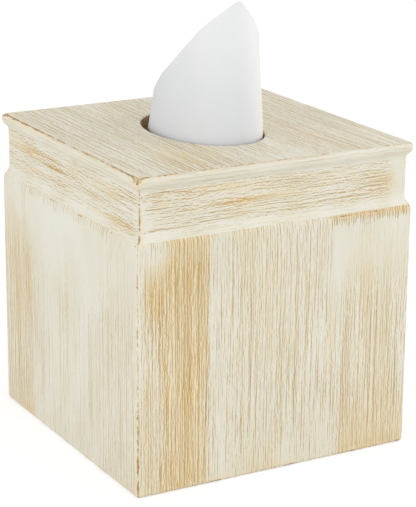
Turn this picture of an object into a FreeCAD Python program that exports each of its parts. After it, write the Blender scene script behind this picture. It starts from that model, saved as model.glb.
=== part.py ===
import FreeCAD, Part
import math
import os

# A square wooden cover for an upright carton of facial tissues. Four mitred panels carry a mitred
# crown moulding and a top board with an oval mouth, and a base panel slides out at the back.
# Lengths are millimetres: X to the right, Y to the back, Z up. The origin is the middle of the
# footprint, on the surface that the cover stands on.

Vec = FreeCAD.Vector
UP = Vec(0, 0, 1)
CENTRE = Vec(0, 0, 0)
SIDES = ("right", "back", "left", "front")

# Body of the cover
body_width = 140.0
body_depth = 140.0
cover_height = 143.5
panel_thickness = 9.0
bottom_round = 1.8
corner_round = 0.4
shoulder_inset = 0.8
shoulder_drop = 2.8

# Crown moulding and top board
crown_height = 28.5
lip_overhang = 0.4
lip_thickness = 5.0
lip_top_round = 1.8
lip_under_inset = 1.5
cove_height = 2.5
frieze_inset = 2.65
frieze_corner_round = 0.4
foot_height = 4.7
top_thickness = 8.0
tongue_clearance = 0.1
mouth_width = 50.0
mouth_length = 75.0
mouth_round = 0.8

# Sliding base and its pull bar
base_thickness = 4.0
base_lift = 4.5
groove_depth = 4.0
slide_clearance = 0.35
bar_lift = 0.5
notch_width = 30.0
notch_height = 5.5

# Brads that pin the glued joints, with their heads set below the paint
brad_diameter = 1.2
brad_head_diameter = 2.0
brad_head_height = 0.8
brad_point = 2.0
brad_set = 1.0
brad_clearance = 0.02
corner_brad_length = 18.0
rail_brad_length = 32.0
top_brad_length = 13.0
bar_brad_length = 16.0
corner_brad_shares = (0.2, 0.5, 0.85)
rail_brad_shares = (-0.5, 0.5)
top_brad_shares = (-0.72, 0.72)
bar_brad_shares = (-0.6, 0.6)

# Refill: carton, film and folded tissues. The room in the cover, less its gaps, is the carton's size
rest_gap = 0.3
carton_side_gap = 6.0
carton_head_gap = 4.7
carton_wall = 0.8
opening_side_margin = 22.0
opening_end_margin = 9.0
film_thickness = 0.4
film_margin = 5.0
slit_width = 12.0
slit_end_margin = 13.0
stack_side_gap = 0.7
stack_head_gap = 8.0

# Tissue that stands in the mouth: a curled sheet, drawn in at the slit, its corner pointing up
tissue_thickness = 0.8
slit_gap = 1.4
slit_rise = 1.5
mouth_sink = 2.0
rim_gap = 1.4
left_gap = 1.9
back_gap = 4.7
tissue_height = 66.0
lean_right = 4.8
lean_back = 0.9
side_draw_in = 4.3
front_draw_in = 7.4
peak_height = 62.5
peak_right = 3.2
peak_forward = 27.4
end_round_share = 0.8
left_edge_share = 0.95
back_edge_share = 0.75
left_fall_shares = (0.51, -0.87)
right_fall_shares = (-1.7, -0.45)

# One overrun serves every cut
overrun = 2.0

# Worked out from the sizes above
half_width = body_width / 2
half_depth = body_depth / 2
panel_height = cover_height - crown_height
lip_bottom = cover_height - lip_thickness
inner_half_width = half_width - panel_thickness
inner_half_depth = half_depth - panel_thickness
panel_radius = max(bottom_round, shoulder_inset) + corner_round
crown_radius = lip_overhang + frieze_inset + frieze_corner_round
board_underside = cover_height - top_thickness
base_top = base_lift + base_thickness
carton_half_width = inner_half_width - carton_side_gap
carton_half_depth = inner_half_depth - carton_side_gap
carton_bottom = base_top + rest_gap
carton_top = board_underside - carton_head_gap
opening_half_width = carton_half_width - opening_side_margin
opening_half_length = carton_half_depth - opening_end_margin
film_top = carton_top - carton_wall
slit_half_width = slit_width / 2
slit_half_length = opening_half_length - slit_end_margin
stack_bottom = carton_bottom + carton_wall
stack_top = film_top - film_thickness - stack_head_gap
rail_middle = (frieze_inset + panel_thickness) / 2


def arc_leaving(start, heading, end):
    """Arc that leaves the start along the heading and reaches the end."""
    chord = end - start
    turn = heading.getAngle(chord)
    side = heading - chord * (heading.dot(chord) / chord.dot(chord))
    side.normalize()
    middle = start + chord / 2 + side * (chord.Length / 2 * math.tan(turn / 2))
    return Part.Arc(start, middle, end).toShape()


def line(start, end):
    return Part.LineSegment(start, end).toShape()


def face_of(edges):
    return Part.Face(Part.Wire(edges))


def slab(half_x, half_y, low, high):
    """Box centred on the cover's axis, from one height to another."""
    return Part.makeBox(2 * half_x, 2 * half_y, high - low, Vec(-half_x, -half_y, low))


def oval_prism(half_x, half_y, low, high):
    """Upright prism on an oval about the cover's axis."""
    ends = sorted([Vec(half_x, 0, low), Vec(0, half_y, low)], key=lambda end: max(end.x, end.y))
    oval = Part.Ellipse(ends[1], ends[0], Vec(0, 0, low))
    return face_of([oval.toShape()]).extrude(UP * (high - low))


def turned(shape, quarter):
    """The shape turned by quarter turns about the cover's axis."""
    copy = shape.copy()
    copy.rotate(CENTRE, UP, 90 * quarter)
    return copy


def moulded_block(section, radius, half_x, half_y, low, high):
    """Block whose four sides follow a section, with that section turned round each corner."""
    axis_x = half_x - radius
    axis_y = half_y - radius
    pieces = []
    for quarter in range(len(SIDES)):
        across, along = (axis_x, axis_y) if quarter % 2 == 0 else (axis_y, axis_x)
        straight = section.translated(Vec(across, -along, 0)).extrude(Vec(0, 2 * along, 0))
        corner = section.revolve(CENTRE, UP, 90).translated(Vec(across, along, 0))
        pieces += [turned(straight, quarter), turned(corner, quarter)]
    return slab(axis_x, axis_y, low, high).multiFuse(pieces).removeSplitter()


def mitre_wedge(quarter, gap=0):
    """Prism that keeps one side of a square ring, between the two mitres at its ends."""
    across, along = (half_width, half_depth) if quarter % 2 == 0 else (half_depth, half_width)
    inward = panel_thickness + overrun
    back_off = gap * math.sqrt(2)
    points = [
        Vec(across + overrun, -along - overrun + back_off, -overrun),
        Vec(across + overrun, along + overrun - back_off, -overrun),
        Vec(across - inward, along - inward - back_off, -overrun),
        Vec(across - inward, -along + inward + back_off, -overrun),
    ]
    outline = Part.makePolygon(points + points[:1])
    return turned(Part.Face(outline).extrude(UP * (cover_height + 2 * overrun)), quarter)


def panel_section():
    """Outer skin of a side panel: eased foot, flat face, rounded shoulder."""
    foot_in = Vec(panel_radius - bottom_round, 0, 0)
    foot_out = Vec(panel_radius, 0, bottom_round)
    face_top = Vec(panel_radius, 0, panel_height - shoulder_drop)
    shoulder = Vec(panel_radius - shoulder_inset, 0, panel_height)
    top_in = Vec(0, 0, panel_height)
    return face_of([
        line(CENTRE, foot_in),
        arc_leaving(foot_in, Vec(1, 0, 0), foot_out),
        line(foot_out, face_top),
        arc_leaving(face_top, UP, shoulder),
        line(shoulder, top_in),
        line(top_in, CENTRE),
    ])


def rail_section():
    """Outer skin of a crown rail: flared foot, flat frieze, cove under the lip."""
    frieze = crown_radius - lip_overhang - frieze_inset
    seat_in = Vec(0, 0, panel_height)
    seat_out = Vec(crown_radius - lip_overhang - shoulder_inset, 0, panel_height)
    frieze_low = Vec(frieze, 0, panel_height + foot_height)
    frieze_high = Vec(frieze, 0, lip_bottom - cove_height)
    cove_out = Vec(crown_radius - lip_under_inset, 0, lip_bottom)
    top_in = Vec(0, 0, lip_bottom)
    return face_of([
        line(seat_in, seat_out),
        arc_leaving(frieze_low, -UP, seat_out),
        line(frieze_low, frieze_high),
        arc_leaving(frieze_high, UP, cove_out),
        line(cove_out, top_in),
        line(top_in, seat_in),
    ])


def lip_section():
    """Outer skin of the top board: a bead that is full near the top and draws in below."""
    low_in = Vec(0, 0, lip_bottom)
    low_out = Vec(crown_radius - lip_under_inset, 0, lip_bottom)
    widest = Vec(crown_radius, 0, cover_height - lip_top_round)
    arris = Vec(crown_radius - lip_top_round, 0, cover_height)
    top_in = Vec(0, 0, cover_height)
    return face_of([
        line(low_in, low_out),
        arc_leaving(widest, -UP, low_out),
        arc_leaving(widest, UP, arris),
        line(arris, top_in),
        line(top_in, low_in),
    ])


def brad(length, head, heading, grow=0):
    """Headed pin whose head lies at a place and whose point follows a heading."""
    radius = brad_diameter / 2 + grow
    reach = length - brad_point
    top = Part.makeCylinder(brad_head_diameter / 2 + grow, brad_head_height)
    shank = Part.makeCylinder(radius, reach)
    point = Part.makeCone(radius, 0, brad_point, Vec(0, 0, reach))
    pin = top.multiFuse([shank, point]).removeSplitter()
    pin.Placement = FreeCAD.Placement(head, FreeCAD.Rotation(UP, heading))
    return pin


def brads(length, places, grow=0):
    return Part.makeCompound([brad(length, head, heading, grow) for head, heading in places])


def corner_brad_places():
    """Through the front and back panels into the ends of the right and left panels."""
    x = half_width - panel_thickness / 2
    y = half_depth - brad_set
    return [
        (Vec(across * x, along * y, share * panel_height), Vec(0, -along, 0))
        for across in (1, -1) for along in (1, -1) for share in corner_brad_shares
    ]


def side_places(shares, height):
    """Places along the four sides, in the middle of the rails, pointing down."""
    places = []
    for share in shares:
        x = half_width - rail_middle
        y = half_depth - rail_middle
        for side in (1, -1):
            places.append((Vec(side * x, share * inner_half_depth, height), -UP))
            places.append((Vec(share * inner_half_width, side * y, height), -UP))
    return places


def bar_brad_places():
    """Through the pull bar into the rear edge of the base."""
    y = half_depth - brad_set
    z = base_lift + base_thickness / 2
    return [(Vec(share * inner_half_width, y, z), Vec(0, -1, 0)) for share in bar_brad_shares]


def panel_ring():
    block = moulded_block(panel_section(), panel_radius, half_width, half_depth, 0, panel_height)
    return block.cut(slab(inner_half_width, inner_half_depth, -overrun, cover_height))


def groove():
    """Space that the base runs in: closed at the front, open at the back."""
    low = base_lift - slide_clearance
    high = base_top + slide_clearance
    x = inner_half_width + groove_depth
    front = -inner_half_depth - groove_depth
    length = half_depth + overrun - front
    return Part.makeBox(2 * x, length, high - low, Vec(-x, front, low))


def side_panel(quarter):
    panel = panel_ring().common(mitre_wedge(quarter))
    if SIDES[quarter] == "back":
        panel = panel.cut(slab(body_width, body_depth, -overrun, base_top + slide_clearance))
    else:
        panel = panel.cut(groove())
    holes = [brads(corner_brad_length, corner_brad_places(), brad_clearance),
             brads(rail_brad_length, side_places(rail_brad_shares, lip_bottom), brad_clearance)]
    return panel.cut(holes)


def crown_rail(quarter):
    block = moulded_block(rail_section(), crown_radius, half_width + lip_overhang,
                          half_depth + lip_overhang, panel_height, lip_bottom)
    ring = block.cut(slab(inner_half_width, inner_half_depth, -overrun, cover_height))
    rail = ring.common(mitre_wedge(quarter))
    holes = [brads(rail_brad_length, side_places(rail_brad_shares, lip_bottom), brad_clearance),
             brads(top_brad_length, side_places(top_brad_shares, cover_height - brad_set), brad_clearance)]
    return rail.cut(holes)


def top_board():
    """Board with a beaded lip, a tongue that drops inside the rails, and the oval mouth."""
    board = moulded_block(lip_section(), crown_radius, half_width + lip_overhang,
                          half_depth + lip_overhang, lip_bottom, cover_height)
    tongue = slab(inner_half_width - tongue_clearance, inner_half_depth - tongue_clearance,
                  board_underside, lip_bottom)
    board = board.fuse(tongue).removeSplitter()
    board = board.cut(oval_prism(mouth_width / 2, mouth_length / 2,
                                 board_underside - overrun, cover_height + overrun))
    rim = [edge for edge in board.Edges if edge.isClosed() and edge.CenterOfMass.z > lip_bottom]
    board = board.Solids[0].makeFillet(mouth_round, rim)
    return board.cut(brads(top_brad_length, side_places(top_brad_shares, cover_height - brad_set),
                           brad_clearance))


def base_panel():
    x = inner_half_width + groove_depth - slide_clearance
    front = -inner_half_depth - groove_depth + slide_clearance
    plate = Part.makeBox(2 * x, inner_half_depth - front, base_thickness, Vec(-x, front, base_lift))
    return plate.cut(brads(bar_brad_length, bar_brad_places(), brad_clearance))


def base_pull_bar():
    """Strip cut from the foot of the back panel, with a shallow arch for a fingertip."""
    strip = panel_ring().common(mitre_wedge(SIDES.index("back"), slide_clearance))
    strip = strip.common(slab(body_width, body_depth, bar_lift, base_top))
    arch_radius = (notch_width ** 2 / 4 + notch_height ** 2) / (2 * notch_height)
    arch = Part.makeCylinder(arch_radius, body_depth, Vec(0, 0, bar_lift + notch_height - arch_radius),
                             Vec(0, 1, 0))
    return strip.cut([arch, brads(bar_brad_length, bar_brad_places(), brad_clearance)])


def tissue_carton():
    shell = slab(carton_half_width, carton_half_depth, carton_bottom, carton_top)
    shell = shell.cut(slab(carton_half_width - carton_wall, carton_half_depth - carton_wall,
                           stack_bottom, film_top))
    return shell.cut(oval_prism(opening_half_width, opening_half_length,
                                film_top - overrun, carton_top + overrun))


def carton_film():
    plate = slab(opening_half_width + film_margin, opening_half_length + film_margin,
                 film_top - film_thickness, film_top)
    run = slit_half_length - slit_half_width
    slit = slab(slit_half_width, run, stack_top, carton_top)
    for way in (1, -1):
        end = Part.makeCylinder(slit_half_width, carton_top - stack_top, Vec(0, way * run, stack_top))
        slit = slit.fuse(end)
    return plate.cut(slit)


def tissue_stack():
    return slab(carton_half_width - carton_wall - stack_side_gap,
                carton_half_depth - carton_wall - stack_side_gap, stack_bottom, stack_top)


def curl_arcs(half_x, half_y, inset, middle):
    """Four arcs of an oval, from the sheet's left edge round the front to its back edge."""
    end_radius = half_x * end_round_share
    side_radius = (half_x ** 2 + half_y ** 2 - 2 * half_y * end_radius) / (2 * (half_x - end_radius))
    end_shift = half_y - end_radius
    side_shift = side_radius - half_x
    meet = math.atan2(end_shift, side_shift)
    left_start = math.pi + meet * (1 - 2 * left_edge_share)
    back_stop = meet + back_edge_share * (math.pi - 2 * meet)
    runs = [
        (Vec(side_shift, 0, 0), side_radius, left_start, math.pi + meet),
        (Vec(0, -end_shift, 0), end_radius, math.pi + meet, 2 * math.pi - meet),
        (Vec(-side_shift, 0, 0), side_radius, -meet, meet),
        (Vec(0, end_shift, 0), end_radius, meet, back_stop),
    ]
    arcs = []
    for centre, radius, start, stop in runs:
        reach = radius - inset
        angles = (start, (start + stop) / 2, stop)
        points = [middle + centre + Vec(reach * math.cos(a), reach * math.sin(a), 0) for a in angles]
        arcs.append(Part.Arc(*points).toShape())
    return arcs


def curl_section(half_x, half_y, middle):
    """Closed outline of the sheet at one height: outer arcs, inner arcs, two edges."""
    outer = curl_arcs(half_x, half_y, 0, middle)
    inner = curl_arcs(half_x, half_y, tissue_thickness, middle)
    ends = [
        line(outer[-1].Vertexes[-1].Point, inner[-1].Vertexes[-1].Point),
        line(inner[0].Vertexes[0].Point, outer[0].Vertexes[0].Point),
    ]
    return Part.Wire(Part.__sortEdges__(outer + inner + ends))


def above_plane(place, fall):
    """Large block above a slope through a place, falling by the two shares along X and Y."""
    reach = 2 * cover_height
    block = Part.makeBox(2 * reach, 2 * reach, reach, Vec(-reach, -reach, 0))
    normal = Vec(-fall[0], -fall[1], 1)
    block.Placement = FreeCAD.Placement(place, FreeCAD.Rotation(UP, normal))
    return block


def tissue_sheet():
    slit_x = slit_half_width - slit_gap
    slit_y = slit_half_length - slit_gap
    mouth_x = (mouth_width - rim_gap - left_gap) / 2
    mouth_y = (mouth_length - rim_gap - back_gap) / 2
    mouth_middle = Vec((left_gap - rim_gap) / 2, (rim_gap - back_gap) / 2, cover_height - mouth_sink)
    top_middle = mouth_middle + Vec(lean_right, lean_back, mouth_sink + tissue_height)
    sheet = Part.makeLoft([
        curl_section(slit_x, slit_y, Vec(0, 0, stack_top + rest_gap)),
        curl_section(slit_x, slit_y, Vec(0, 0, film_top + slit_rise)),
        curl_section(mouth_x, mouth_y, mouth_middle),
        curl_section(mouth_x - side_draw_in, mouth_y - front_draw_in, top_middle),
    ], True, True)
    peak = Vec(peak_right, -peak_forward, cover_height + peak_height)
    return sheet.cut([above_plane(peak, left_fall_shares), above_plane(peak, right_fall_shares)])


def save(name, shape):
    shape.exportStep("parts/%s.step" % name)
    print(name, len(shape.Solids), "solids", round(shape.Volume, 1), "mm3", shape.isValid())


os.makedirs("parts", exist_ok=True)
for quarter, side in enumerate(SIDES):
    save("side_panel_" + side, side_panel(quarter))
    save("crown_rail_" + side, crown_rail(quarter))
save("top_board", top_board())
save("base_panel", base_panel())
save("base_pull_bar", base_pull_bar())
save("corner_brads", brads(corner_brad_length, corner_brad_places()))
save("rail_brads", brads(rail_brad_length, side_places(rail_brad_shares, lip_bottom)))
save("top_brads", brads(top_brad_length, side_places(top_brad_shares, cover_height - brad_set)))
save("pull_bar_brads", brads(bar_brad_length, bar_brad_places()))
save("tissue_carton", tissue_carton())
save("carton_film", carton_film())
save("tissue_stack", tissue_stack())
save("tissue_sheet", tissue_sheet())
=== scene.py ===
# %% [markdown]
# # A tissue box cover in brushed, worn paint
# The cover is a square wooden box. Cream paint was dragged over tan wood with a nearly dry brush,
# and the arrises were rubbed back until the wood showed as brown lines. The wooden pieces arrive
# from CAD with their true shapes, so this lesson gives them their finish. It models the soft pieces
# anew: the tissue that stands in the mouth and the folded tissues below it.

# %% Load the frame
import math
import random
from functools import cache
from typing import NamedTuple

import bmesh
import bpy
from mathutils import Matrix, Vector


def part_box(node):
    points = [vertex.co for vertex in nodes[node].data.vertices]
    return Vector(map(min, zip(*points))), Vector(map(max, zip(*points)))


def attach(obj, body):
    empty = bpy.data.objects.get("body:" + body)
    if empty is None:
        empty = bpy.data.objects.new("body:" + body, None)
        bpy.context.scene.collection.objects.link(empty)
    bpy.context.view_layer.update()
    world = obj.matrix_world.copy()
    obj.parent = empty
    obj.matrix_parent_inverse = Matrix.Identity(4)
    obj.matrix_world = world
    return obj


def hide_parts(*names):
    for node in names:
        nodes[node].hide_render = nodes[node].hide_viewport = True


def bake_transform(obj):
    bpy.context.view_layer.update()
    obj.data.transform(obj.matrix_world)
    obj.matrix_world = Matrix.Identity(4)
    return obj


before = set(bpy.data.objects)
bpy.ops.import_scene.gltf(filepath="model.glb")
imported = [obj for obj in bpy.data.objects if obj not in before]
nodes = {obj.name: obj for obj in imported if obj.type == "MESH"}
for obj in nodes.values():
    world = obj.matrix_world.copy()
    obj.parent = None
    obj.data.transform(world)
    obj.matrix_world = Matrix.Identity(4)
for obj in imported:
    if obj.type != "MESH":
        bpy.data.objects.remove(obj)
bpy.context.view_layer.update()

# %% [markdown]
# ## Sizes that the finish follows
# A worn arris has to lie on the arris, so each line of wear takes its place from the boxes of the
# CAD nodes. Patterns are easier to think about in millimetres, so these values are millimetres
# and the materials scale their coordinates once.

# %% Measure the cover
PER_METRE = 1000.0
MM = 1.0 / PER_METRE
panel_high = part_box("side_panel_front")[1] * PER_METRE
board_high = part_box("top_board")[1] * PER_METRE
rail_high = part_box("crown_rail_front")[1] * PER_METRE
lip_half = board_high.x
inner_half = -panel_high.y
panel_top = panel_high.z
frieze_top = rail_high.z
cover_top = board_high.z
print("lip half width", round(lip_half, 2), "panel top", round(panel_top, 2), "top", round(cover_top, 2))

# %% [markdown]
# ## Camera
# The photograph looks at the front left corner from a little above. A long lens at that distance
# keeps the upright edges nearly parallel. Writing the camera's three axes as the columns of a
# matrix is the plainest way to place it, because the small roll is then one rotation.

# %% Place the camera
VIEW_AZIMUTH = math.radians(-29.53)
VIEW_ELEVATION = math.radians(16.95)
VIEW_ROLL = math.radians(0.47)
VIEW_DISTANCE = 0.8886
VIEW_RIGHT = 0.0033
VIEW_HEIGHT = 0.0829
FOCAL_PIXELS = 1893.5
FRAME_PIXELS = 507.0
SENSOR = 36.0

toward = Vector((math.sin(VIEW_AZIMUTH) * math.cos(VIEW_ELEVATION),
                 -math.cos(VIEW_AZIMUTH) * math.cos(VIEW_ELEVATION), math.sin(VIEW_ELEVATION)))
level = Vector((math.cos(VIEW_AZIMUTH), math.sin(VIEW_AZIMUTH), 0))
aim = level * VIEW_RIGHT + Vector((0, 0, VIEW_HEIGHT))
axes = Matrix((level, toward.cross(level), toward)).transposed()
lens = bpy.data.cameras.new("camera")
lens.sensor_width = SENSOR
lens.lens = FOCAL_PIXELS / FRAME_PIXELS * SENSOR
camera = bpy.data.objects.new("camera", lens)
camera.matrix_world = (Matrix.Translation(aim + toward * VIEW_DISTANCE)
                       @ (Matrix.Rotation(VIEW_ROLL, 3, toward) @ axes).to_4x4())
bpy.context.scene.collection.objects.link(camera)
bpy.context.scene.camera = camera
bpy.context.scene.view_settings.view_transform = "Standard"
print("camera at", [round(value, 3) for value in camera.location], "lens", round(lens.lens, 1))

# %% [markdown]
# ## Nodes as plain arithmetic
# A finish is arithmetic on coordinates: how far is this point from the arris, and how much paint
# did the brush leave here? Wiring that by hand is slow to read, so a small class lets a socket be
# added, multiplied and compared as if it were a number.

# %% Fields
def plug(socket, value):
    """Links a field into a socket, or sets the socket's own value."""
    if isinstance(value, Field):
        socket.id_data.links.new(value.socket, socket)
    else:
        socket.default_value = value


class Field:
    """A number that changes over a surface, held by a node socket."""

    def __init__(self, socket):
        self.socket = socket

    @property
    def tree(self):
        """Node tree that holds the socket."""
        return self.socket.id_data

    def math(self, operation, *others):
        """Result of a Math node with this field as its first value."""
        node = self.tree.nodes.new("ShaderNodeMath")
        node.operation = operation
        for socket, value in zip(node.inputs, (self,) + others):
            plug(socket, value)
        return Field(node.outputs[0])

    def __add__(self, other):
        return self.math("ADD", other)

    def __sub__(self, other):
        return self.math("SUBTRACT", other)

    def __mul__(self, other):
        return self.math("MULTIPLY", other)

    def least(self, other):
        """Smaller of two values."""
        return self.math("MINIMUM", other)

    def most(self, other):
        """Larger of two values."""
        return self.math("MAXIMUM", other)

    def size(self):
        """Value without its sign."""
        return self.math("ABSOLUTE")

    def ramp(self, low, high):
        """Smooth rise from 0 at low to 1 at high; low above high makes it fall."""
        node = self.tree.nodes.new("ShaderNodeMapRange")
        node.interpolation_type = "SMOOTHSTEP"
        plug(node.inputs["Value"], self)
        plug(node.inputs["From Min"], low)
        plug(node.inputs["From Max"], high)
        return Field(node.outputs["Result"])


def joined(x, y, z):
    """A vector made of three fields or numbers, the first of them a field."""
    node = x.tree.nodes.new("ShaderNodeCombineXYZ")
    for socket, value in zip(node.inputs, (x, y, z)):
        plug(socket, value)
    return Field(node.outputs[0])


print("field helpers: plug, Field, joined")

# %% Noise and colour
def noise(place, grain, detail=2.0, roughness=0.5):
    """Smooth noise about 0.5, with features of the three sizes in grain."""
    stretch = place.tree.nodes.new("ShaderNodeVectorMath")
    stretch.operation = "MULTIPLY"
    plug(stretch.inputs[0], place)
    stretch.inputs[1].default_value = [1.0 / size for size in grain]
    texture = place.tree.nodes.new("ShaderNodeTexNoise")
    plug(texture.inputs["Vector"], Field(stretch.outputs[0]))
    texture.inputs["Scale"].default_value = 1.0
    texture.inputs["Detail"].default_value = detail
    texture.inputs["Roughness"].default_value = roughness
    return Field(texture.outputs[0])


def crisp_noise(place, grain, detail=2.0, roughness=0.5):
    """Noise about 0 without its slow swings: the difference of two places half a grain apart."""
    nudge = place.tree.nodes.new("ShaderNodeVectorMath")
    plug(nudge.inputs[0], place)
    nudge.inputs[1].default_value = (grain[0] * 0.5, 0.0, 0.0)
    moved = Field(nudge.outputs[0])
    return noise(place, grain, detail, roughness) - noise(moved, grain, detail, roughness)


def mixed(factor, first, second):
    """Colour between two colours, each a field or a list of four numbers."""
    # A Mix node has sockets for every kind of value, and those of colours are found by number.
    node = factor.tree.nodes.new("ShaderNodeMix")
    node.data_type = "RGBA"
    plug(node.inputs[0], factor)
    plug(node.inputs[6], first)
    plug(node.inputs[7], second)
    return Field(node.outputs[2])


def srgb(red, green, blue):
    """Colour as a paint chart gives it, turned into the linear values that shaders use."""
    linear = [(v / 12.92 if v <= 0.04045 else ((v + 0.055) / 1.055) ** 2.4)
              for v in (red / 255, green / 255, blue / 255)]
    return linear + [1.0]


print("noise and colour helpers: noise, crisp_noise, mixed, srgb")

# %% Node groups
NUMBER = "NodeSocketFloat"
PLACE = "NodeSocketVector"


def shader_group(name, inputs, outputs):
    """Empty node group with named sockets; returns its tree, its inputs and its output node."""
    tree = bpy.data.node_groups.new(name, "ShaderNodeTree")
    for label, kind in inputs:
        tree.interface.new_socket(label, in_out="INPUT", socket_type=kind)
    for label in outputs:
        tree.interface.new_socket(label, in_out="OUTPUT", socket_type=NUMBER)
    enter = tree.nodes.new("NodeGroupInput")
    leave = tree.nodes.new("NodeGroupOutput")
    return tree, {label: Field(enter.outputs[label]) for label, kind in inputs}, leave


def placed(group, tree, **values):
    """A group placed in a tree with its own values; returns its outputs by name."""
    node = tree.nodes.new("ShaderNodeGroup")
    node.node_tree = group
    for label, value in values.items():
        plug(node.inputs[label], value)
    return {socket.name: Field(socket) for socket in node.outputs}


print("group helpers: shader_group, placed")

# %% [markdown]
# ## Brush strokes
# A dry brush leaves hair-thin lines, never quite straight, and the pressure of the hand makes them
# come and go. A painted picture would have to be made for every face, so noises stretched along the
# stroke stand for the lines: a broad swell, long streaks, shorter hairs and specks. Plain noise
# swings slowly between light and dark, and taking away a copy that is moved aside keeps only its
# crisp lines. Slower noises say how hard the brush pressed, where the paint ran dry and where the
# wood is warm. Panels, rails and board all use them, so they are a group.

# %% Brush stroke group
WOBBLE = 1.2
# Grain of each noise in millimetres: across the stroke, along it, and from one seed to the next.
DRIFT_GRAIN = (40.0, 90.0, 1.0)
SWELL_GRAIN = (1.1, 110.0, 1.0)
STREAK_GRAIN = (0.9, 110.0, 1.0)
HAIR_GRAIN = (0.75, 18.0, 1.0)
SPECK_GRAIN = (0.8, 5.0, 1.0)
PRESS_GRAIN = (7.0, 60.0, 1.0)
BUNDLE_GRAIN = (4.2, 75.0, 1.0)
CLOUD_GRAIN = (24.0, 46.0, 1.0)
WARM_GRAIN = (6.0, 34.0, 1.0)
stroke_group, given, leave = shader_group("brush strokes", [("Place", PLACE)],
                                           ["Lines", "Dryness", "Cloud", "Warmth"])
split = stroke_group.nodes.new("ShaderNodeSeparateXYZ")
plug(split.inputs[0], given["Place"])
across, along, layer = (Field(socket) for socket in split.outputs)
drift = noise(given["Place"], DRIFT_GRAIN, 1.0) - 0.5
wavy = joined(across + drift * WOBBLE, along, layer)
swell = noise(wavy, SWELL_GRAIN, 1.0, 0.7) - 0.5
streak = crisp_noise(wavy, STREAK_GRAIN, 1.0, 0.7)
hair = crisp_noise(wavy, HAIR_GRAIN, 1.0, 0.6)
speck = crisp_noise(wavy, SPECK_GRAIN, 2.0, 0.7)
press = noise(wavy, PRESS_GRAIN, 2.0).ramp(0.3, 0.7)
bundle = noise(wavy, BUNDLE_GRAIN, 2.0) - 0.5
cloud = noise(given["Place"], CLOUD_GRAIN, 2.0)
brushed = swell * 1.5 + streak * 1.5 + hair * 1.9 + speck * 1.9
plug(leave.inputs["Lines"], brushed * (press * 0.4 + 0.8))
plug(leave.inputs["Dryness"], bundle * 0.25 + (cloud - 0.5) * 0.35)
plug(leave.inputs["Cloud"], cloud)
plug(leave.inputs["Warmth"], noise(wavy, WARM_GRAIN, 3.0, 0.6).ramp(0.36, 0.64))
print("group:", stroke_group.name)

# %% [markdown]
# ## Bare bands
# Here and there the brush ran dry and left a band of bare wood. Noise alone would put the bands
# anywhere, so each is a soft rectangle with a place on the face: its sides follow the stroke and
# stay sharp, and its ends are frayed, because each hair of the brush runs out of paint at its own
# place.

# %% Bare band group
SIDE_FRAY = 1.5
END_FRAY = 4.0
END_SOFTNESS = 0.4
band_group, given, leave = shader_group(
    "bare band",
    [("Across", NUMBER), ("Along", NUMBER), ("Fray", NUMBER), ("Middle", NUMBER), ("Half", NUMBER),
     ("Low", NUMBER), ("High", NUMBER), ("Side", NUMBER), ("End", NUMBER)], ["Mask"])
from_middle = (given["Across"] - given["Middle"]).size() - given["Fray"] * given["Side"] * SIDE_FRAY
frayed = given["Along"] + given["Fray"] * given["End"] * END_FRAY
soft_end = given["End"] * END_SOFTNESS
sides = from_middle.ramp(given["Half"] + given["Side"], given["Half"] - given["Side"])
above = frayed.ramp(given["Low"] - soft_end, given["Low"] + soft_end)
below = frayed.ramp(given["High"] + soft_end, given["High"] - soft_end)
plug(leave.inputs["Mask"], sides * above * below)
print("group:", band_group.name)

# %% [markdown]
# ## Worn arrises
# Rubbing back takes the paint off an arris in an uneven line: solid where the hand pressed, dotted
# elsewhere, with thin yellowed paint beside it. A mask made from the sharpness of edges would wear
# them all alike. This group takes the distance from one arris, so that each can have its own wear,
# and lets noise along it decide. Core is the bare line, and Tint the paint beside it.

# %% Worn arris group
PATCH_GRAIN = (9.0, 9.0, 9.0)
DOT_GRAIN = (1.6, 1.6, 1.6)
PATCH_SWING = 3.6
DOT_SWING = 2.2
CORE_FALL = 1.6
TINT_FALL = 0.6
arris_group, given, leave = shader_group(
    "worn arris", [("Place", PLACE), ("Distance", NUMBER), ("Width", NUMBER), ("Share", NUMBER)],
    ["Core", "Tint"])
patchy = noise(given["Place"], PATCH_GRAIN, 3.0, 0.6) - 0.5
dotted = noise(given["Place"], DOT_GRAIN, 2.0, 0.6) - 0.5
pressed = given["Share"] + patchy * PATCH_SWING + dotted * DOT_SWING
nearness = given["Distance"].math("DIVIDE", given["Width"])
# On the panels' foot the Core line is also painted shade.
plug(leave.inputs["Core"], (pressed - nearness * CORE_FALL).ramp(-0.1, 0.5))
plug(leave.inputs["Tint"], (pressed - nearness * TINT_FALL).ramp(-0.5, 0.7))
print("group:", arris_group.name)

# %% [markdown]
# ## Painted wood
# One function makes the finish for any piece of the cover. It is told which way the strokes run,
# where the bare bands lie and where the arrises are. The brush leaves ridges of paint with furrows
# between them. Where the coat is full, ridges are cream and furrows show a veil of wood. Where it
# is dry, ridges are a yellowed wash and furrows are wood, pale or warm, with brown in the deepest.
# The colours are mixed by masks, never by a hard cut, because thin paint lets the wood show through.

# %% Colours of paint and wood
CREAM = srgb(239, 236, 223)
CREAM_SHADE = srgb(235, 231, 214)
VEIL = srgb(221, 208, 174)
WASH = srgb(241, 225, 190)
TAN_PALE = srgb(210, 190, 147)
TAN_WARM = srgb(211, 176, 114)
BROWN_PALE = srgb(170, 145, 97)
BROWN_WARM = srgb(178, 136, 70)
# Brown of rubbed arrises; along the panels' foot it is also painted shade.
RUBBED_WOOD_AND_FOOT_SHADE = srgb(166, 124, 57)
RAW_LIGHT = srgb(196, 163, 120)
RAW_DEEP = srgb(160, 124, 84)
print("cream in linear light:", [round(value, 2) for value in CREAM[:3]])

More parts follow.
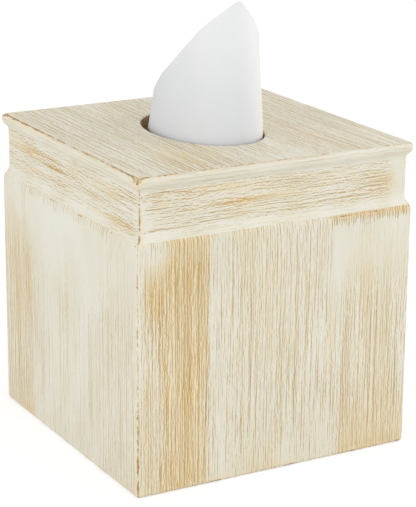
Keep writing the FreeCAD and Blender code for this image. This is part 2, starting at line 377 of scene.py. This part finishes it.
# %% Material helpers
def shaded_material(name, roughness, specular):
    """New material with a Principled shader; returns it, its shader and millimetre coordinates."""
    material = bpy.data.materials.new(name)
    material.use_nodes = True
    tree = material.node_tree
    shader = tree.nodes["Principled BSDF"]
    shader.inputs["Roughness"].default_value = roughness
    shader.inputs["Specular IOR Level"].default_value = specular
    source = tree.nodes.new("ShaderNodeTexCoord")
    scale = tree.nodes.new("ShaderNodeVectorMath")
    scale.operation = "SCALE"
    scale.inputs["Scale"].default_value = PER_METRE
    plug(scale.inputs[0], Field(source.outputs["Object"]))
    split = tree.nodes.new("ShaderNodeSeparateXYZ")
    plug(split.inputs[0], Field(scale.outputs[0]))
    x, y, z = (Field(socket) for socket in split.outputs)
    return material, shader, {"x": x, "y": y, "z": z, "place": Field(scale.outputs[0])}


def roughened(shader, height, strength, depth):
    """Fine relief on a shader, from a field of heights; depth is in metres."""
    bump = height.tree.nodes.new("ShaderNodeBump")
    bump.inputs["Strength"].default_value = strength
    bump.inputs["Distance"].default_value = depth
    plug(bump.inputs["Height"], height)
    plug(shader.inputs["Normal"], Field(bump.outputs[0]))


def dress(node, material):
    """Gives a CAD node one material."""
    nodes[node].data.materials.clear()
    nodes[node].data.materials.append(material)


print("material helpers: shaded_material, roughened, dress")

# %% Painted wood material
BARE_SHARE = 0.07
FULL_COAT = 0.3
FRAY_SHARE = 0.6
BROWN_SHARE = 0.5
TINT_SHARE = 0.6
CORE_SHARE = 0.85


def painted_wood(name, flow, seed, bands, arrises, bare=None, sealed=None, brisk=1.0, press=1.0):
    """Brushed paint over wood.

    flow gives the coordinates across and along the strokes. bands lists the bare and the white
    bands on those coordinates. arrises gives (distance, width, share) fields. bare masks the
    faces that never saw paint, and sealed those that hold a full coat. A brisk brush leaves
    shorter strokes, and press makes their lines stronger.
    """
    material, shader, at = shaded_material(name, 0.55, 0.3)
    over, run = flow(at)
    tree = over.tree
    stroke = placed(stroke_group, tree, Place=joined(over, run * brisk, float(seed)))
    lines = stroke["Lines"] * press
    fray = lines * FRAY_SHARE
    dry = stroke["Dryness"] + BARE_SHARE
    for band in bands:
        patch = placed(band_group, tree, Across=over, Along=run, Fray=fray, Middle=band.middle,
                       Half=band.half, Low=band.low, High=band.high, Side=band.side, End=band.end)
        dry = dry + patch["Mask"] * band.strength
    if sealed is not None:
        dry = dry - sealed(at) * FULL_COAT
    thin = dry.ramp(0.08, 0.6)
    furrow = (lines + dry * 0.25).ramp(-0.14, 0.34) * (dry + 0.42).ramp(0.0, 0.5)

    paint = mixed(stroke["Cloud"].ramp(0.35, 0.65), CREAM, CREAM_SHADE)
    warmth = stroke["Warmth"]
    wood = mixed(warmth, TAN_PALE, TAN_WARM)
    colour = mixed(furrow, mixed(thin, paint, WASH), mixed(thin, VEIL, wood))
    deepest = furrow * (lines + dry * 0.2).ramp(0.35, 0.65)
    colour = mixed(deepest * BROWN_SHARE, colour, mixed(warmth, BROWN_PALE, BROWN_WARM))
    for distance, width, share in arrises(at):
        worn = placed(arris_group, tree, Place=at["place"], Distance=distance, Width=width, Share=share)
        colour = mixed(worn["Tint"] * TINT_SHARE, colour, WASH)
        colour = mixed(worn["Core"] * CORE_SHARE, colour, RUBBED_WOOD_AND_FOOT_SHADE)
    if bare is not None:
        colour = mixed(bare(at), colour, mixed(lines.ramp(-0.4, 0.5), RAW_LIGHT, RAW_DEEP))
    plug(shader.inputs["Base Color"], colour)
    plug(shader.inputs["Roughness"], furrow * 0.12 + 0.5)
    roughened(shader, lines * -1.0, 0.25, 0.2 * MM)
    return material


print("painted wood: strokes, bands and arrises in one function")

# %% [markdown]
# ## Side panels
# Strokes run up and down on all four panels. The front one has a strong tan band beside its left
# corner and a softer one on the right; the left one has its band at the far edge. The faces that
# the camera doesn't see get bands of the same kind. One material could serve all four, but each
# panel's bands are its own, so each gets a material with its own list.

# %% Bands on the panels
class Band(NamedTuple):
    """Soft rectangle on a face, bare where its strength is above 0 and white below."""
    middle: float
    half: float
    low: float
    high: float
    strength: float
    side: float = 2.0
    end: float = 14.0


# A low of -40 or a high of 160 lets a band run off the end of its panel.
PANEL_BANDS = {
    "front": [
        Band(-46, 11, -40, 113, 0.42, 3.2, 8), Band(-43, 7.5, 40, 110, 0.2, 1.4, 8),
        Band(-45, 9, 84, 109, 0.26, 2.0, 6), Band(-46, 8, -40, 36, 0.18, 3),
        Band(-60, 6, 78, 101, 0.34, 2.5, 8),
        Band(-62, 6, -40, 103, 0.22), Band(-31, 3.2, 28, 160, -0.2, 1.5),
        Band(-24, 9, -40, 28, -0.18), Band(-2, 25, 46, 160, 0.12, 4), Band(15, 15, 4, 36, -0.2, 4),
        Band(31, 3, 78, 160, -0.2), Band(51, 21, 99, 160, -0.3, 4), Band(51, 18, -40, 92, 0.19, 3),
        Band(45, 3, 58, 88, 0.15), Band(27.6, 1, 32, 70, 0.45, 0.8), Band(51, 19, -40, 5, 0.44, 3, 10),
        Band(-12, 18, -40, 1, 0.36, 4, 10), Band(48, 20, panel_top - 3.0, 160, 1.2, 3, 1.6),
        Band(-48, 14, 112.6, 160, 0.3, 3, 3), Band(-61, 6, 108, 160, -0.26, 4, 4)],
    "left": [
        Band(52.5, 15.5, -40, 104, 0.21, 1.5), Band(55, 4, 25, 72, 0.12), Band(2, 33, -40, 160, -0.2, 6),
        Band(0, 2, 66, 96, 0.25), Band(27, 1.5, 24, 50, 0.3, 1), Band(-25, 2.5, 30, 62, 0.2),
        Band(-60, 9, -40, 45, 0.1, 4), Band(0, 75, 98, 160, -0.26, 4),
        Band(40, 10, -40, 0, 0.4, 4, 10), Band(0, 40, 113.2, 160, 0.4, 6, 2)],
    "right": [
        Band(-44, 11, -40, 104, 0.5, 1.5), Band(8, 16, 34, 160, 0.1, 4), Band(-27, 5, -40, 160, -0.15),
        Band(52, 15, -40, 84, 0.22, 3), Band(30, 20, 100, 160, -0.25, 4),
        Band(-10, 20, -40, 0, 0.34, 4, 10), Band(20, 24, 112.6, 160, 0.5, 6, 3)],
    "back": [
        Band(46, 12, -40, 108, 0.55, 1.5), Band(0, 20, 44, 160, 0.1, 4), Band(28, 5, -40, 160, -0.15),
        Band(-52, 14, -40, 90, 0.22, 3), Band(-30, 22, 100, 160, -0.25, 4),
        Band(10, 24, -40, 0, 0.34, 4, 10), Band(-30, 26, 112.6, 160, 0.5, 6, 3)],
}
print("bands:", {side: len(bands) for side, bands in PANEL_BANDS.items()})

# %% Side panels
ACROSS = {"front": "x", "back": "x", "left": "y", "right": "y"}
PANEL_SEED, PANEL_SEED_STEP = 11, 37


def mitre_distance(at):
    """Distance from the mitred corners, where the two sides of the cover meet."""
    return (at["x"].size() - at["y"].size()).size()


def panel_flow(side):
    """Strokes that run up and down a panel."""
    return lambda at: (at[ACROSS[side]], at["z"])


def panel_arrises(at):
    """Wear on a panel's upright corners and its shoulder; along its foot, wear and painted shade at the
    floor.
    """
    low_down = at["z"].ramp(80.0, 30.0)
    shoulder = (at["z"] - (panel_top - 0.8)).size()
    rubbed = at["x"].ramp(22.0, 36.0) * at["y"].ramp(-60.0, -66.0) * 0.45
    # The line along the foot is partly wear and partly painted shade, darkening the bottom edge at the
    # floor.
    return [(mitre_distance(at), 1.3, low_down * 0.6 + 0.15), (shoulder, rubbed + 0.8, rubbed - 0.15),
            (at["z"], 2.0, 0.55)]


def inside_walls(at):
    """Mask of the faces inside the cover, which stay raw."""
    return at["x"].size().most(at["y"].size()).ramp(inner_half + 1.0, inner_half + 0.6)


def panel_finish(name, side):
    """Brushed paint with the strokes, the bands and the wear of one side of the cover."""
    seed = list(PANEL_BANDS).index(side) * PANEL_SEED_STEP + PANEL_SEED
    return painted_wood(name, panel_flow(side), seed, PANEL_BANDS[side], panel_arrises, inside_walls)


for side in PANEL_BANDS:
    dress("side_panel_" + side, panel_finish("brushed_panel_" + side, side))
print("panels:", len(PANEL_BANDS))

# %% [markdown]
# ## Crown rails
# On the moulding the brush ran level, and short patches of wood show on the flat frieze. The cove
# under the lip and the flared foot hold more paint, so they stay white. The section is one solid
# without seams to part the finishes, so a mask of heights tells the function where the coat is full.

# %% Bands on the rails
# A low of -90 or a high of 90 lets a band run past the end of its rail.
RAIL_BANDS = {
    "front": [
        Band(134, 2.6, -45, -22, 0.4, 0.8), Band(127.4, 1.8, -36, 2, 0.4, 0.8),
        Band(122.8, 1.8, -30, -8, 0.3, 0.8), Band(133, 3, 0, 22, 0.26, 0.8),
        Band(126.6, 4.4, 46, 66, 0.4, 0.8), Band(121, 1.2, 38, 60, 0.25, 0.6),
        Band(134, 5, -62, -57, 0.3, 0.8, 4), Band(128, 20, -90, -60.5, -0.4, 2, 3),
        Band(128, 20, 61.5, 90, -0.4, 2, 3)],
    "left": [
        Band(135.6, 1.4, 54, 76, 0.35, 0.8), Band(130.6, 2.6, 20, 54, 0.42, 0.8),
        Band(122.5, 1.5, 14, 40, 0.3, 0.8), Band(128.5, 1.5, -10, 16, 0.3, 0.8),
        Band(131, 2.8, -60, -32, 0.32, 0.8), Band(118.5, 2.6, -62, -34, 0.4, 0.8),
        Band(128, 20, -90, -60.5, -0.4, 2, 3)],
    "right": [
        Band(131, 3, -40, -8, 0.4, 0.8), Band(124, 2, 10, 44, 0.35, 0.8),
        Band(134, 2, 40, 64, 0.32, 0.8)],
    "back": [
        Band(130, 2.6, -58, -30, 0.36, 0.8), Band(125, 2, -12, 30, 0.32, 0.8),
        Band(133, 2.2, 36, 62, 0.36, 0.8)],
}
print("bands:", {side: len(bands) for side, bands in RAIL_BANDS.items()})

# %% Crown rails
RAIL_BRISK = 2.6
RAIL_SEED, RAIL_SEED_STEP = 200, 53


def rail_flow(side):
    """Strokes that run along a rail."""
    return lambda at: (at["z"], at[ACROSS[side]])


def rail_coat(at):
    """Mask of the flared foot and the cove, which hold a full coat."""
    foot = at["z"].ramp(panel_top + 4.6, panel_top + 2.6)
    return foot.most(at["z"].ramp(frieze_top - 3.0, frieze_top - 1.0))


def rail_arrises(at):
    """Wear on the mitred corners of a rail, heaviest on the foot."""
    low_down = at["z"].ramp(panel_top + 6.0, panel_top + 1.0)
    high_up = at["z"].ramp(frieze_top - 9.0, frieze_top - 2.0)
    return [(mitre_distance(at), 1.6, low_down * 0.7 + high_up * 0.5 + 0.1)]


for number, side in enumerate(RAIL_BANDS):
    seed = number * RAIL_SEED_STEP + RAIL_SEED
    finish = painted_wood("brushed_rail_" + side, rail_flow(side), seed, RAIL_BANDS[side],
                          rail_arrises, inside_walls, rail_coat, RAIL_BRISK)
    dress("crown_rail_" + side, finish)
print("rails:", len(RAIL_BANDS))

# %% [markdown]
# ## Top board
# The strokes of the board run from front to back and leave it a little browner than the sides. Its
# lip was brushed along its length and then rubbed along the top arris. The wall of the oval mouth
# was never painted, so it shows raw wood. All of that is one solid, and choosing faces for several
# materials would leave hard seams, so masks turn the strokes and lay the wood bare.

# %% Top board
BOARD_BANDS = [
    Band(-32, 19, -66, -34, 0.24, 5), Band(-36, 8, -64, -40, 0.16, 4), Band(37, 5, -58, 8, 0.26, 3),
    Band(54, 4, -36, 6, 0.2, 3), Band(-22, 10, 46, 62, 0.15, 4), Band(12, 20, -66, -42, -0.28, 5)]
BOARD_SEED = 411
BOARD_PRESS = 1.3
MOUTH_HALF_WIDTH = 25.0
MOUTH_HALF_LENGTH = 37.5


def board_arrises(at):
    """Wear on the lip's top arris: long on the left, dotted along the front."""
    x, y = at["x"].size(), at["y"].size()
    outward = x.most(y)
    line = (outward - (lip_half - 1.5)).size().most((at["z"] - cover_top).size() * 0.8)
    left = at["x"].ramp(-60.0, -66.0) * (at["y"].ramp(0.0, 40.0) * 0.45 + 0.4)
    corner = x.least(y).ramp(lip_half - 6.0, lip_half - 1.0)
    front = at["y"].ramp(-60.0, -66.0) * at["x"].ramp(10.0, -40.0) * 0.25
    upright = mitre_distance(at).most((outward - lip_half).size() * 0.7)
    return [(line, corner * 0.6 + 0.9, left + front + 0.3 + corner * 0.4), (upright, 1.4, 0.6)]


def raw_mouth(at):
    """Mask of the mouth's wall and the board's underside."""
    share_x = at["x"] * (1.0 / MOUTH_HALF_WIDTH)
    share_y = at["y"] * (1.0 / MOUTH_HALF_LENGTH)
    oval = share_x.math("POWER", 2.0) + share_y.math("POWER", 2.0)
    wall = oval.ramp(1.08, 1.04) * at["z"].ramp(cover_top - 0.2, cover_top - 0.7)
    underside = at["z"].ramp(frieze_top - 0.4, frieze_top - 0.6)
    return wall.most(underside)


def lip_mask(at):
    """Mask of the lip's round face, where the brush turned to run along it."""
    rim = at["x"].size().most(at["y"].size()).ramp(lip_half - 1.7, lip_half - 1.6)
    return rim.most(at["z"].ramp(cover_top - 0.8, cover_top - 0.9))


def board_flow(at):
    """Strokes from front to back on the board, turning to run along its lip."""
    lip = lip_mask(at)
    return at["x"] + (at["z"] - at["x"]) * lip, at["y"] + at["x"] * lip


finish = painted_wood("brushed_board", board_flow, BOARD_SEED, BOARD_BANDS, board_arrises, raw_mouth,
                      lip_mask, press=BOARD_PRESS)
dress("top_board", finish)
print("board dressed, with bands:", len(BOARD_BANDS))

# %% [markdown]
# ## Sliding base
# The base is a thin raw panel, and its pull bar is the painted strip at the foot of the back panel.
# A wood grain could be a pattern of its own, but the brush strokes already look like grain, so raw
# wood reads them in other colours. The pull bar takes the finish of the back panel, so that its
# strokes go on where the panel's end.

# %% Base panel and pull bar
BASE_SEED = 523


def raw_wood(name, across, along, seed):
    """Unpainted wood with its grain along one coordinate."""
    material, shader, at = shaded_material(name, 0.7, 0.25)
    stroke = placed(stroke_group, at["x"].tree, Place=joined(at[across], at[along], float(seed)))
    colour = mixed(stroke["Dryness"].ramp(-0.15, 0.15), RAW_LIGHT, WASH)
    plug(shader.inputs["Base Color"], mixed(stroke["Lines"].ramp(0.0, 0.6) * 0.6, colour, RAW_DEEP))
    roughened(shader, stroke["Lines"] * -1.0, 0.3, 0.2 * MM)
    return material


dress("base_panel", raw_wood("raw_base", "x", "y", BASE_SEED))
dress("base_pull_bar", panel_finish("brushed_pull_bar", "back"))
print("base dressed")

# %% [markdown]
# ## Brads
# Steel pins hold the glued joints. They are cut from drawn wire, which is grey and a little rough.
# They sit inside the wood, so one metal with a fine mottle does for all of them.

# %% Brads
BRADS = ("corner_brads", "rail_brads", "top_brads", "pull_bar_brads")


def drawn_steel():
    """Grey wire with a fine mottle of gloss."""
    material, shader, at = shaded_material("drawn_steel", 0.35, 0.5)
    shader.inputs["Metallic"].default_value = 1.0
    mottle = noise(at["place"], (0.2, 0.2, 0.2), 3.0)
    plug(shader.inputs["Base Color"], mixed(mottle, srgb(150, 150, 152), srgb(190, 190, 192)))
    plug(shader.inputs["Roughness"], mottle * 0.3 + 0.2)
    return material


steel = drawn_steel()
for group in BRADS:
    dress(group, steel)
print("groups of brads dressed:", len(BRADS))

# %% [markdown]
# ## Refill carton and film
# The refill is a plain board carton with a clear film under its oval window. Board shows fibres and
# faint clouds, which two noises give. The film could be glass to the renderer, but such a thin sheet
# hardly bends light, so a low alpha with some haze in it is simpler and looks the same.

# %% Carton and film
def carton_board():
    """Pale board with fibres and faint clouds."""
    material, shader, at = shaded_material("carton_board", 0.65, 0.25)
    fibre = noise(at["place"], (0.5, 0.5, 3.0), 3.0)
    cloud = noise(at["place"], (22.0, 22.0, 22.0), 2.0)
    colour = mixed(cloud.ramp(0.35, 0.65), srgb(226, 224, 217), srgb(216, 213, 205))
    plug(shader.inputs["Base Color"], mixed(fibre.ramp(0.55, 0.75) * 0.4, colour, srgb(196, 190, 178)))
    roughened(shader, fibre, 0.15, 0.1 * MM)
    return material


def clear_film():
    """Hazy film that lets most of what lies below it show."""
    material, shader, at = shaded_material("clear_film", 0.2, 0.5)
    haze = noise(at["place"], (9.0, 14.0, 9.0), 3.0)
    plug(shader.inputs["Base Color"], mixed(haze, srgb(236, 238, 240), srgb(246, 247, 248)))
    plug(shader.inputs["Alpha"], haze * 0.3 + 0.25)
    roughened(shader, haze, 0.3, 0.4 * MM)
    return material


dress("tissue_carton", carton_board())
dress("carton_film", clear_film())
print("refill dressed")

# %% [markdown]
# ## Tissue in the mouth
# The top tissue stands in the mouth as a curled sheet. It is gathered where it passes the slit in
# the film, opens to fill the mouth, and ends in a corner that points up. Its inner end is tucked
# inside its left edge, and its foot still lies on the folded tissues. A grid is the natural start
# for a sheet: one way round the curl, the other way up, and each row finds its own height between
# the foot and the top edge. That edge is made of a few straight cuts with soft corners between
# them. Cloth simulation would lose the crisp paper curl, so formulas place the points.

# %% Sizes of the curl
SLIT_LEVEL = 131.5
MOUTH_LEVEL = 141.5
NECK_LEVEL = 126.0
SLIT_HALF = (4.6, 31.6)
MOUTH_HALF = (23.6, 34.0)
MOUTH_MIDDLE = (0.7, -1.6)
# Over CURL_RISE above the mouth, the curl leans and draws in by these amounts of x and y.
LEAN = (4.0, 0.9)
DRAW_IN = (6.4, 7.4)
CURL_RISE = 68.0
CURL_TOP = 206.0
CUT_ROUND = 0.6
TAIL_REACH = 12.0
TAIL_LIFT = 0.6
PLEATS = 34
PLEAT_DEPTH = 1.0
PLEAT_END = MOUTH_LEVEL + 8.0
SLACK = 0.35
LEFT_EDGE = math.radians(136.0)
INNER_EDGE = math.radians(506.0)
# The inner end is drawn in by these shares of its reach, in the neck and from the mouth upwards.
NECK_TUCK = 0.3
MOUTH_TUCK = 0.08
END_SHARE = 0.1
stack_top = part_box("tissue_stack")[1].z * PER_METRE


class Cut(NamedTuple):
    """Straight cut across the curl: a point of it, and its rise for each millimetre of x and y."""
    x: float
    y: float
    z: float
    rise_x: float
    rise_y: float

    def level(self, point):
        """Height of the cut at the place of a point."""
        return self.z + self.rise_x * (point.x - self.x) + self.rise_y * (point.y - self.y)


CUTS = {
    "left of the tip": Cut(-3.0, -25.9, 202.0, 0.56, -0.52),
    "left slope": Cut(-15.1, -11.0, 184.3, 0.93, -0.73),
    "left corner": Cut(-16.8, 14.5, 161.7, 1.72, -1.15),
    "right of the tip": Cut(8.7, -27.2, 199.9, -1.34, 0.6),
    "right corner": Cut(15.7, -22.7, 191.1, -2.35, 1.2),
    "right side": Cut(17.6, -20.2, 189.6, -0.7, -0.85),
    "back end": Cut(0.0, 31.0, 154.0, 0.4, -2.0),
}
print("curl of", round(math.degrees(INNER_EDGE - LEFT_EDGE)), "degrees, with cuts:", len(CUTS))

# %% Shape of the curl
EDGE_STEPS = 40


def eased(share):
    """Smooth rise from 0 to 1."""
    share = min(max(share, 0.0), 1.0)
    return share * share * (3.0 - 2.0 * share)


def between(first, second, share):
    """Value at a share of the way from first to second."""
    return first + (second - first) * share


def curl_point(turn, height, reach=0.0):
    """Point of the sheet at an angle round the curl and a height, pushed out by reach."""
    opened = eased((height - SLIT_LEVEL) / (MOUTH_LEVEL - SLIT_LEVEL))
    risen = max(height - MOUTH_LEVEL, 0.0) / CURL_RISE
    half_x, half_y = (between(slit, mouth - draw * risen, opened)
                      for slit, mouth, draw in zip(SLIT_HALF, MOUTH_HALF, DRAW_IN))
    around = (turn - LEFT_EDGE) / (INNER_EDGE - LEFT_EDGE)
    tuck = between(NECK_TUCK, MOUTH_TUCK, opened) * eased((around - 1.0) / (2 * END_SHARE) + 1.0)
    loose = eased(around / END_SHARE) * eased((1.0 - around) / END_SHARE)
    depth = PLEAT_DEPTH * (1.0 - eased((height - NECK_LEVEL) / (PLEAT_END - NECK_LEVEL)))
    pleat = depth * loose * (0.5 - 0.5 * math.cos(around * PLEATS * 2 * math.pi))
    pleat *= 0.75 + 0.25 * math.sin(turn * 3.0)
    slack = SLACK * opened * math.sin(turn * 3.0 + height * 0.06) * math.sin(height * 0.05 + 1.0)
    out_x = half_x * (1.0 - tuck) - pleat + slack + reach
    out_y = half_y * (1.0 - tuck) - pleat + slack + reach
    return Vector((MOUTH_MIDDLE[0] * opened + LEAN[0] * risen + out_x * math.cos(turn),
                   MOUTH_MIDDLE[1] * opened + LEAN[1] * risen + out_y * math.sin(turn), height))


@cache
def cut_edge(turn):
    """Height of the sheet's top edge at an angle: the lowest cut, with soft corners between cuts."""
    # The cuts slope and the curl leans, so the height is found in steps of half the way.
    height = CURL_TOP
    for _ in range(EDGE_STEPS):
        levels = [cut.level(curl_point(turn, height)) for cut in CUTS.values()]
        lowest = min(levels)
        crowding = sum(math.exp((lowest - level) / CUT_ROUND) for level in levels)
        height = between(height, lowest - CUT_ROUND * math.log(crowding), 0.5)
    return height


print("tissue edge from", round(cut_edge(LEFT_EDGE), 1), "to", round(cut_edge(INNER_EDGE), 1))

# %% Tissue sheet
COLUMNS = 170
TAIL_ROWS, NECK_ROWS, CURL_ROWS = 12, 46, 44
TISSUE_THICKNESS = 0.3 * MM
# The darker colour is the paper's own, and low on the standing tissue also painted shade; the whiter is
# painted light there.
PAPER = srgb(226, 229, 233)
PAPER_WHITE_AND_PAINTED_LIGHT = srgb(248, 248, 248)


def finished_piece(name, mesh, body, material, smooth_angle=50.0):
    """Object from a bmesh, shaded smooth, riding a body where one is named."""
    for face in mesh.faces:
        face.smooth = True
    data = bpy.data.meshes.new(name)
    mesh.to_mesh(data)
    mesh.free()
    data.set_sharp_from_angle(angle=math.radians(smooth_angle))
    data.materials.append(material)
    piece = bpy.data.objects.new(name, data)
    bpy.context.scene.collection.objects.link(piece)
    if body:
        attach(piece, body)
    return piece


def sheet_row(turn, row):
    """Point of the sheet at an angle and a row, from the tail on the stack up to the cut edge."""
    if row <= TAIL_ROWS:
        climb = row / TAIL_ROWS
        height = between(stack_top + TAIL_LIFT, NECK_LEVEL, climb ** 2)
        return curl_point(turn, height, TAIL_REACH * (1.0 - climb) ** 2)
    row -= TAIL_ROWS
    if row <= NECK_ROWS:
        return curl_point(turn, between(NECK_LEVEL, MOUTH_LEVEL, row / NECK_ROWS))
    return curl_point(turn, between(MOUTH_LEVEL, cut_edge(turn), (row - NECK_ROWS) / CURL_ROWS))


def tissue_paper(name, thin):
    """Soft fibrous paper whitened by the mask thin: painted light on standing tissue, random tone on
    folded.
    """
    material, shader, at = shaded_material(name, 0.92, 0.1)
    fibre = noise(at["place"], (0.7, 0.7, 0.9), 4.0, 0.6)
    cloud = noise(at["place"], (14.0, 14.0, 20.0), 2.0)
    mottle = (fibre - 0.5) * 0.3 + (cloud - 0.5) * 0.3
    plug(shader.inputs["Base Color"], mixed((thin(at) + mottle).most(0.0).least(1.0), PAPER, PAPER_WHITE_AND_PAINTED_LIGHT))
    roughened(shader, fibre, 0.25, 0.2 * MM)
    return material


def painted_light_on_tissue(at):
    """Mask of painted light and shade: the tissue is whiter upwards and to the right, darker low down.
    """
    return at["z"].ramp(cover_top + 2.0, cover_top + 55.0) * 0.6 + at["x"].ramp(0.0, 20.0) * 0.9


sheet = bmesh.new()
rows = TAIL_ROWS + NECK_ROWS + CURL_ROWS
bmesh.ops.create_grid(sheet, x_segments=COLUMNS, y_segments=rows, size=0.5)
for vert in sheet.verts:
    turn = between(LEFT_EDGE, INNER_EDGE, vert.co.x + 0.5)
    vert.co = sheet_row(turn, round((vert.co.y + 0.5) * rows)) * MM
bmesh.ops.recalc_face_normals(sheet, faces=sheet.faces)
bmesh.ops.solidify(sheet, geom=sheet.faces[:], thickness=TISSUE_THICKNESS)
# Painted light whitens the standing tissue upwards and to the right.
tissue = finished_piece("standing_tissue", sheet, None, tissue_paper("tissue_paper", painted_light_on_tissue))
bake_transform(tissue)
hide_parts("tissue_sheet")
print("tissue points:", len(tissue.data.vertices))

# %% [markdown]
# ## Folded tissues
# The refill is a pile of folded wads with their folds on alternate sides. Each wad is a thin block
# whose folded edge is rounded over. An extruded profile would do that, but a bevel on two edges of
# a cube takes fewer lines. A seeded shift keeps the pile from looking machined.

# %% Folded tissues
WADS = 40
WAD_SEED = 7
SHIFT = 0.35
WAD_GAP = 0.1
FOLD_ROUND = 0.46
FOLD_SEGMENTS = 5
pile_low, pile_high = (corner * PER_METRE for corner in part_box("tissue_stack"))
chance = random.Random(WAD_SEED)
wad_rise = (pile_high.z - pile_low.z) / WADS
wad_size = Vector((pile_high.x - pile_low.x - 2 * SHIFT, pile_high.y - pile_low.y - 2 * SHIFT,
                   wad_rise - WAD_GAP))
pile = bmesh.new()
for index in range(WADS):
    place = Vector((chance.uniform(-SHIFT, SHIFT), chance.uniform(-SHIFT, SHIFT),
                    pile_low.z + (index + 0.5) * wad_rise))
    block = Matrix.Translation(place * MM) @ Matrix.Diagonal((*(wad_size * MM), 1))
    wad = bmesh.ops.create_cube(pile, size=1.0, matrix=block)
    fold = 1 if index % 2 else -1
    edges = dict.fromkeys(edge for vert in wad["verts"] for edge in vert.link_edges)
    folded = [edge for edge in edges
              if all((vert.co.x - place.x * MM) * fold > 0 for vert in edge.verts)
              and abs(edge.verts[0].co.y - edge.verts[1].co.y) > wad_size.y * MM / 2]
    bmesh.ops.bevel(pile, geom=folded, offset=wad_size.z * MM * FOLD_ROUND, offset_type="OFFSET",
                    segments=FOLD_SEGMENTS, profile=0.5, affect="EDGES", material=-1)
folded_paper = tissue_paper("folded_paper", lambda at: noise(at["place"], (30.0, 30.0, 0.3), 2.0))
folded_tissues = finished_piece("folded_tissues", pile, "cover", folded_paper, 30.0)
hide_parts("tissue_stack")
print("wads:", WADS, "faces:", len(folded_tissues.data.polygons))

# %% [markdown]
# ## Floor, light and background
# The object stands on plain white. A bright even world does most of the lighting, and three large
# soft lamps add to the front, the left and the right. More light would wash the paint out, so the
# white comes from the floor instead: for light that bounces it is an ordinary pale floor, and for
# the camera it is nearly white. The background is white then, and a soft contact shadow stays.

# %% Floor
FLOOR_SIZE = 12.0
BOUNCE_GREY = (0.82, 0.82, 0.82, 1)
SEEN_GREY = (0.52, 0.52, 0.52, 1)
SEEN_GLOW = 0.6
floor_mesh = bmesh.new()
bmesh.ops.create_grid(floor_mesh, x_segments=2, y_segments=2, size=FLOOR_SIZE / 2)
floor_data = bpy.data.meshes.new("floor")
floor_mesh.to_mesh(floor_data)
floor_mesh.free()
floor = bpy.data.objects.new("floor", floor_data)
bpy.context.scene.collection.objects.link(floor)


def seen_directly(tree):
    """1 for camera, glossy and transmission rays, 0 for light that bounces."""
    path = tree.nodes.new("ShaderNodeLightPath")
    seen = Field(path.outputs["Is Camera Ray"])
    seen = seen.most(Field(path.outputs["Is Glossy Ray"]))
    return seen.most(Field(path.outputs["Is Transmission Ray"]))


def pale_floor():
    """Pale grey for light that bounces; a darker grey with a glow, near white, where it is seen."""
    material = bpy.data.materials.new("pale_floor")
    material.use_nodes = True
    tree = material.node_tree
    tree.nodes.clear()
    bounce = tree.nodes.new("ShaderNodeBsdfDiffuse")
    bounce.inputs["Color"].default_value = BOUNCE_GREY
    soft = tree.nodes.new("ShaderNodeBsdfDiffuse")
    soft.inputs["Color"].default_value = SEEN_GREY
    glow = tree.nodes.new("ShaderNodeEmission")
    glow.inputs["Strength"].default_value = SEEN_GLOW
    seen = tree.nodes.new("ShaderNodeAddShader")
    tree.links.new(soft.outputs[0], seen.inputs[0])
    tree.links.new(glow.outputs[0], seen.inputs[1])
    choose = tree.nodes.new("ShaderNodeMixShader")
    plug(choose.inputs[0], seen_directly(tree))
    tree.links.new(bounce.outputs[0], choose.inputs[1])
    tree.links.new(seen.outputs[0], choose.inputs[2])
    leave = tree.nodes.new("ShaderNodeOutputMaterial")
    tree.links.new(choose.outputs[0], leave.inputs[0])
    return material


floor.data.materials.append(pale_floor())
print("floor of", FLOOR_SIZE, "m")

# %% Background and lamps
SKY = 0.72
LAMP_AIM = Vector((0, 0, 0.08))
# Place, size and power of each lamp.
LAMPS = {
    "front_lamp": ((0.35, -1.5, 0.55), 1.2, 3.9),
    "left_lamp": ((-1.5, -0.35, 0.6), 1.2, 6.0),
    "right_lamp": ((1.4, -0.45, 0.7), 1.0, 3.8),
}
world = bpy.data.worlds.new("studio")
bpy.context.scene.world = world
world.use_nodes = True
sky = world.node_tree.nodes["Background"]
plug(sky.inputs["Strength"], seen_directly(world.node_tree) * (1.0 - SKY) + SKY)
sky.inputs["Color"].default_value = (1, 1, 1, 1)


def soft_lamp(name, place, size, power):
    """Square area lamp that looks at the middle of the cover."""
    light = bpy.data.lights.new(name, "AREA")
    light.shape = "SQUARE"
    light.size = size
    light.energy = power
    lamp = bpy.data.objects.new(name, light)
    lamp.location = place
    lamp.rotation_euler = (LAMP_AIM - Vector(place)).to_track_quat("-Z", "Y").to_euler()
    bpy.context.scene.collection.objects.link(lamp)


for name, setting in LAMPS.items():
    soft_lamp(name, *setting)
print("lamps:", len(LAMPS))
